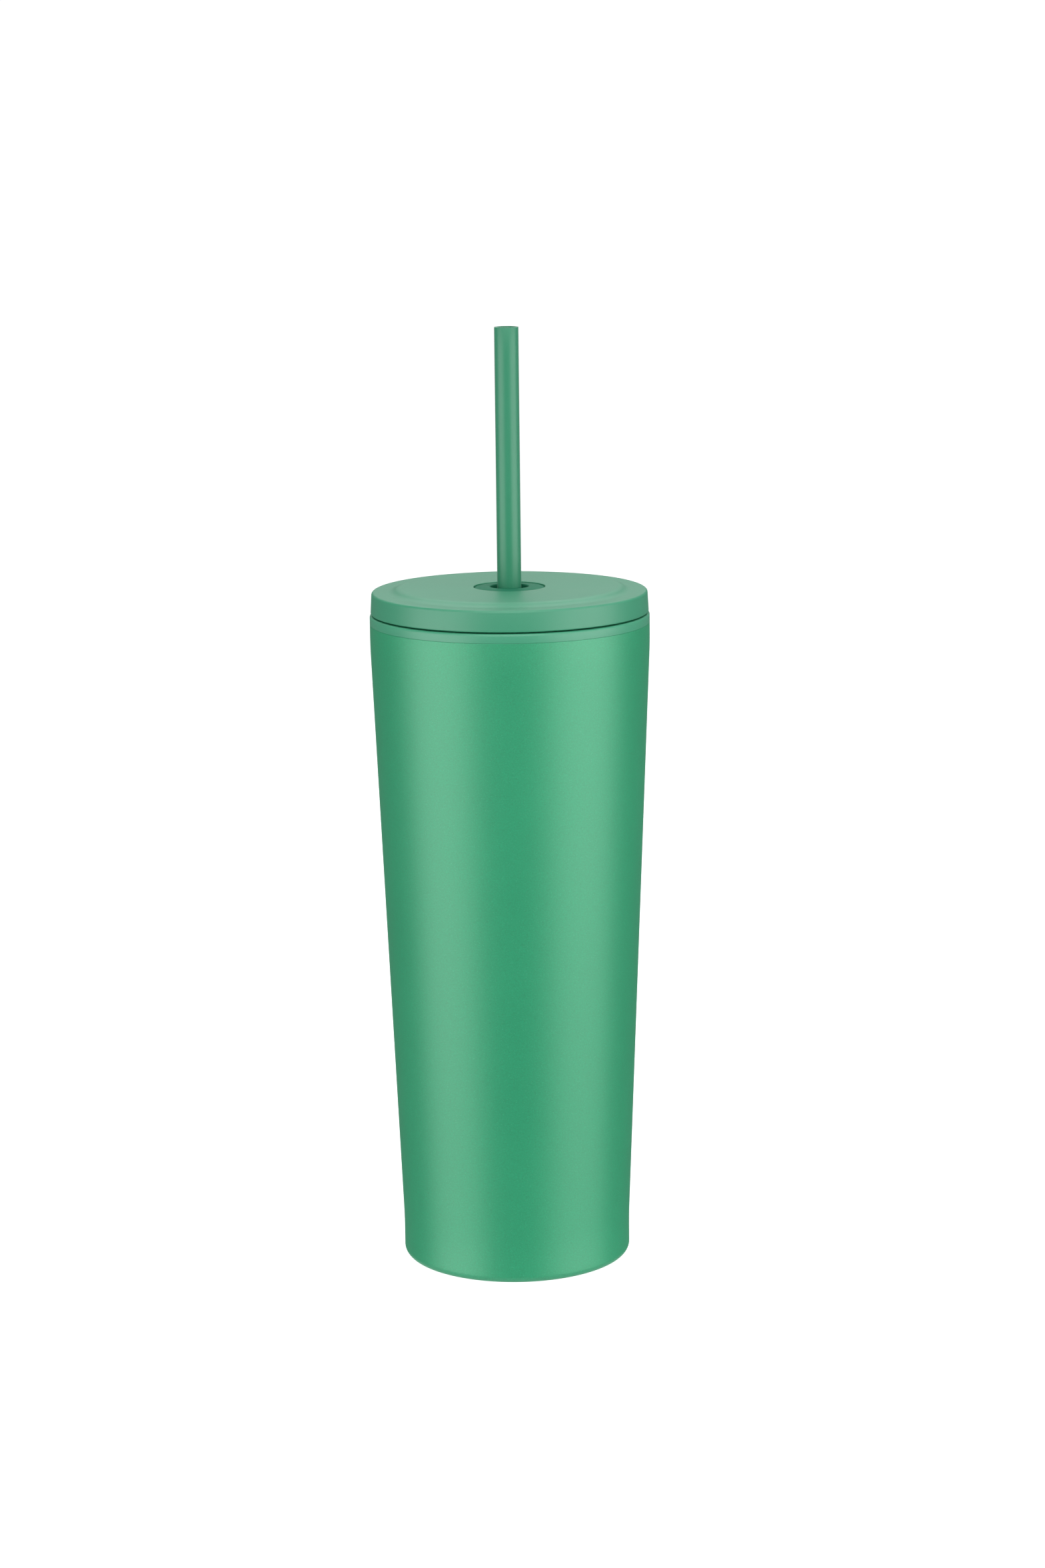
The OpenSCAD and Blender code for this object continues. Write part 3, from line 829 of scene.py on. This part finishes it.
class TUMBLER_OT_lid_gasket(Operator):
    """Build the flat silicone ring under the lid"""

    bl_idname = "tumbler.lid_gasket"
    bl_label = "Lid gasket"

    def execute(self, context):
        low, high = foot_of("lid_gasket"), top_of("lid_gasket")
        outer = radius_of("lid_gasket")
        inner = outer - context.scene.tumbler_lid.gasket_w
        edge = 0.25 * MM
        outline = arc((inner + edge, low + edge), edge, 180, 270, 4)
        outline += arc((outer - edge, low + edge), edge, 270, 360, 4)
        outline += arc((outer - edge, high - edge), edge, 0, 90, 4)
        outline += arc((inner + edge, high - edge), edge, 90, 180, 4)
        rubber = silicone("gasket_silicone", context.scene.tumbler_colours.clear_silicone, 0.5, 0.4)
        turned_piece("lid_gasket_ring", outline, rubber, "gasket", "lid_gasket")
        return {"FINISHED"}


class TUMBLER_OT_grommet(Operator):
    """Build the soft ring that the straw passes through"""

    bl_idname = "tumbler.grommet"
    bl_label = "Straw grommet"

    def execute(self, context):
        lid = context.scene.tumbler_lid
        foot = foot_of("straw_grommet")
        outer = radius_of("straw_grommet")
        crown_z = top_of("straw_grommet")
        seat_z = lid.grommet_edge - lid.flange
        lip_r = lid.hub_r + lid.lip_w
        edge = 0.35 * MM
        hole_edge = 0.45 * MM
        low_edge = 0.2 * MM
        crown = []
        for x in spaced(0.0, 1.0, 12):
            radius = outer - edge + (lid.grommet_hole + hole_edge - outer + edge) * x
            rise = (crown_z - lid.grommet_edge) * math.sin(x * math.pi / 2)
            crown.append((radius, lid.grommet_edge + rise))
        outline = arc((lid.grommet_hole + low_edge, foot + low_edge), low_edge, 180, 270, 4)
        outline += [
            (lip_r - lid.lip_h / 2, foot),
            (lip_r, foot + lid.lip_h),
            (lid.waist_r, foot + lid.lip_h),
            (lid.waist_r, seat_z),
            (outer, seat_z),
        ]
        outline += arc((outer - edge, lid.grommet_edge - edge), edge, 0, 90, 6)[:-1]
        outline += crown
        outline += arc((lid.grommet_hole + hole_edge, crown_z - hole_edge), hole_edge, 90, 180, 8)[1:]
        rubber = silicone("grommet_silicone", context.scene.tumbler_colours.silicone)
        turned_piece("soft_grommet", outline, rubber, "grommet", "straw_grommet")
        return {"FINISHED"}


class TUMBLER_OT_straw(Operator):
    """Build the straight straw and the stopper ring on it"""

    bl_idname = "tumbler.straw"
    bl_label = "Straw"

    def execute(self, context):
        straw = context.scene.tumbler_straw
        colours = context.scene.tumbler_colours
        self.build_tube(straw, drawn_plastic("straw_plastic", colours.straw))
        self.build_stopper(straw, silicone("stopper_silicone", colours.silicone))
        return {"FINISHED"}

    def build_tube(self, straw, plastic):
        low, high = foot_of("straw_tube"), top_of("straw_tube")
        outer, inner, edge = straw.straw_r, straw.straw_r - straw.wall, straw.edge
        outside = [(outer, z) for z in spaced(low + edge, high - edge, 40)]
        outline = arc((outer - edge, low + edge), edge, -90, 0, 4)[:-1] + outside
        outline += arc((outer - edge, high - edge), edge, 0, 90, 4)[1:]
        outline += arc((inner + edge, high - edge), edge, 90, 180, 4)
        outline += arc((inner + edge, low + edge), edge, 180, 270, 4)
        shape = bmesh.new()
        add_turned(shape, outline, 96)
        finish_mesh("drinking_straw", shape, plastic, "straw", ["straw_tube"])

    def build_stopper(self, straw, rubber):
        low, high = foot_of("straw_stopper"), top_of("straw_stopper")
        outer = radius_of("straw_stopper")
        inner, edge = straw.straw_r + straw.stopper_gap, straw.stopper_edge
        outline = [(inner, low)]
        outline += arc((outer - edge, low + edge), edge, -90, 0)
        outline += arc((outer - edge, high - edge), edge, 0, 90)
        outline.append((inner, high))
        turned_piece("stopper_ring", outline, rubber, "straw", "straw_stopper")


# ---------------------------------------------------------------- studio


LIGHT_TARGET = Vector((0.0, 0.0, 0.12))

# Name, angle from the camera's side, distance, height, and width and height of the soft box.
SOFT_BOXES = (
    ("left", -60, 1.0, 0.12, (1.12, 0.42)),
    ("left_image", -61, 1.0, -0.30, (1.05, 0.42)),
    ("left_high", -64, 1.0, 0.74, (0.90, 0.80)),
    ("right", 62, 1.0, 0.12, (1.22, 0.42)),
    ("right_image", 63, 1.0, -0.30, (1.12, 0.42)),
    ("right_high", 70, 1.0, 0.74, (0.95, 0.80)),
    ("front", 0, 1.0, 0.74, (1.20, 0.80)),
    ("overhead", 0, 0.25, 1.25, (0.95, 1.50)),
    ("back_high", 180, 0.8, 1.00, (0.90, 0.50)),
    ("back", 180, 1.0, 0.55, (0.50, 0.70)),
    ("rear_left", -150, 0.75, 0.95, (0.80, 0.60)),
    ("rear_right", 150, 0.75, 0.95, (0.80, 0.60)),
    ("bounce", 0, 0.0, -0.05, (0.20, 0.20)),
)


class TUMBLER_OT_studio(Operator):
    """Set up the floor, the lights and the camera"""

    bl_idname = "tumbler.studio"
    bl_label = "Studio"

    def execute(self, context):
        studio = context.scene.tumbler_studio
        self.build_floor(context, studio)
        self.light_sky(context, studio.sky)
        for name, turn, away, height, size in SOFT_BOXES:
            angle = math.radians(turn)
            spot = Vector((away * math.sin(angle), -away * math.cos(angle), height))
            self.add_light(context, name, spot, size, getattr(studio, name))
        self.add_camera(context, studio)
        context.scene.view_settings.view_transform = "Standard"
        return {"FINISHED"}

    def build_floor(self, context, studio):
        """A round floor that curves up into a backdrop on all sides. Only the camera sees it."""
        reach, bend, wall = 5.0, 2.0, 5.0
        outline = [(0.0, 0.0), (reach, 0.0)]
        outline += arc((reach, bend), bend, -90, 0, 24)[1:]
        outline.append((reach + bend, wall))
        shape = bmesh.new()
        add_turned(shape, outline, 96, closed=False)
        mesh = bpy.data.meshes.new("studio_floor")
        shape.to_mesh(mesh)
        shape.free()
        mesh.shade_smooth()
        paper = Finish("studio_paper")
        mesh.materials.append(
            paper.surface(
                Base_Color=tuple(context.scene.tumbler_colours.floor),
                Roughness=0.9,
                Specular_IOR_Level=0.0,
                Emission_Color=(1.0, 1.0, 1.0),
                Emission_Strength=studio.floor,
            )
        )
        floor = bpy.data.objects.new("studio_floor", mesh)
        floor.visible_diffuse = False
        floor.visible_glossy = False
        floor.visible_shadow = False
        context.scene.collection.objects.link(floor)

    def light_sky(self, context, strength):
        world = bpy.data.worlds.new("studio_sky")
        world.use_nodes = True
        background = next(n for n in world.node_tree.nodes if n.type == "BACKGROUND")
        background.inputs["Color"].default_value = (1.0, 1.0, 1.0, 1.0)
        background.inputs["Strength"].default_value = strength
        context.scene.world = world

    def add_light(self, context, name, spot, size, level):
        """Adds a soft box of a given brightness that faces the middle of the cup."""
        data = bpy.data.lights.new(name, "AREA")
        data.shape = "RECTANGLE"
        data.size, data.size_y = size
        data.energy = level * math.pi * size[0] * size[1]
        light = bpy.data.objects.new(name, data)
        light.location = spot
        light.rotation_euler = (LIGHT_TARGET - spot).to_track_quat("-Z", "Y").to_euler()
        light.visible_camera = False
        context.scene.collection.objects.link(light)

    def add_camera(self, context, studio):
        data = bpy.data.cameras.new("camera")
        data.lens = studio.lens
        data.sensor_width = SENSOR_WIDTH
        camera = bpy.data.objects.new("camera", data)
        tilt = Matrix.Rotation(math.pi / 2 - studio.camera_pitch, 4, "X")
        roll = Matrix.Rotation(studio.camera_roll, 4, "Z")
        place = Vector((studio.camera_x, -studio.camera_distance, studio.camera_height))
        camera.matrix_world = Matrix.Translation(place) @ tilt @ roll
        context.scene.collection.objects.link(camera)
        context.scene.camera = camera


# ---------------------------------------------------------------- add-on


SETTINGS = {
    "tumbler_cup": TumblerCup,
    "tumbler_lid": TumblerLid,
    "tumbler_straw": TumblerStraw,
    "tumbler_colours": TumblerColours,
    "tumbler_studio": TumblerStudio,
}

OPERATORS = (
    TUMBLER_OT_painted_body,
    TUMBLER_OT_steel_liner,
    TUMBLER_OT_vacuum_parts,
    TUMBLER_OT_neck_collar,
    TUMBLER_OT_lid,
    TUMBLER_OT_lid_gasket,
    TUMBLER_OT_grommet,
    TUMBLER_OT_straw,
    TUMBLER_OT_studio,
)


class TUMBLER_PT_panel(Panel):
    """Lists the tumbler's pieces and settings"""

    bl_idname = "TUMBLER_PT_panel"
    bl_label = "Insulated tumbler"
    bl_space_type = "VIEW_3D"
    bl_region_type = "UI"
    bl_category = "Tumbler"

    def draw(self, context):
        layout = self.layout
        for operator in OPERATORS:
            layout.operator(operator.bl_idname)
        for name, group in SETTINGS.items():
            box = layout.box()
            box.label(text=group.__doc__)
            settings = getattr(context.scene, name)
            for setting in group.__annotations__:
                box.prop(settings, setting)


CLASSES = (*SETTINGS.values(), *OPERATORS, TUMBLER_PT_panel)


def register():
    for item in CLASSES:
        bpy.utils.register_class(item)
    for name, group in SETTINGS.items():
        setattr(bpy.types.Scene, name, PointerProperty(type=group))


def unregister():
    for name in SETTINGS:
        delattr(bpy.types.Scene, name)
    for item in reversed(CLASSES):
        bpy.utils.unregister_class(item)


def main():
    register()
    for operator in OPERATORS:
        group, name = operator.bl_idname.split(".")
        getattr(getattr(bpy.ops, group), name)()


if __name__ == "__main__":
    main()
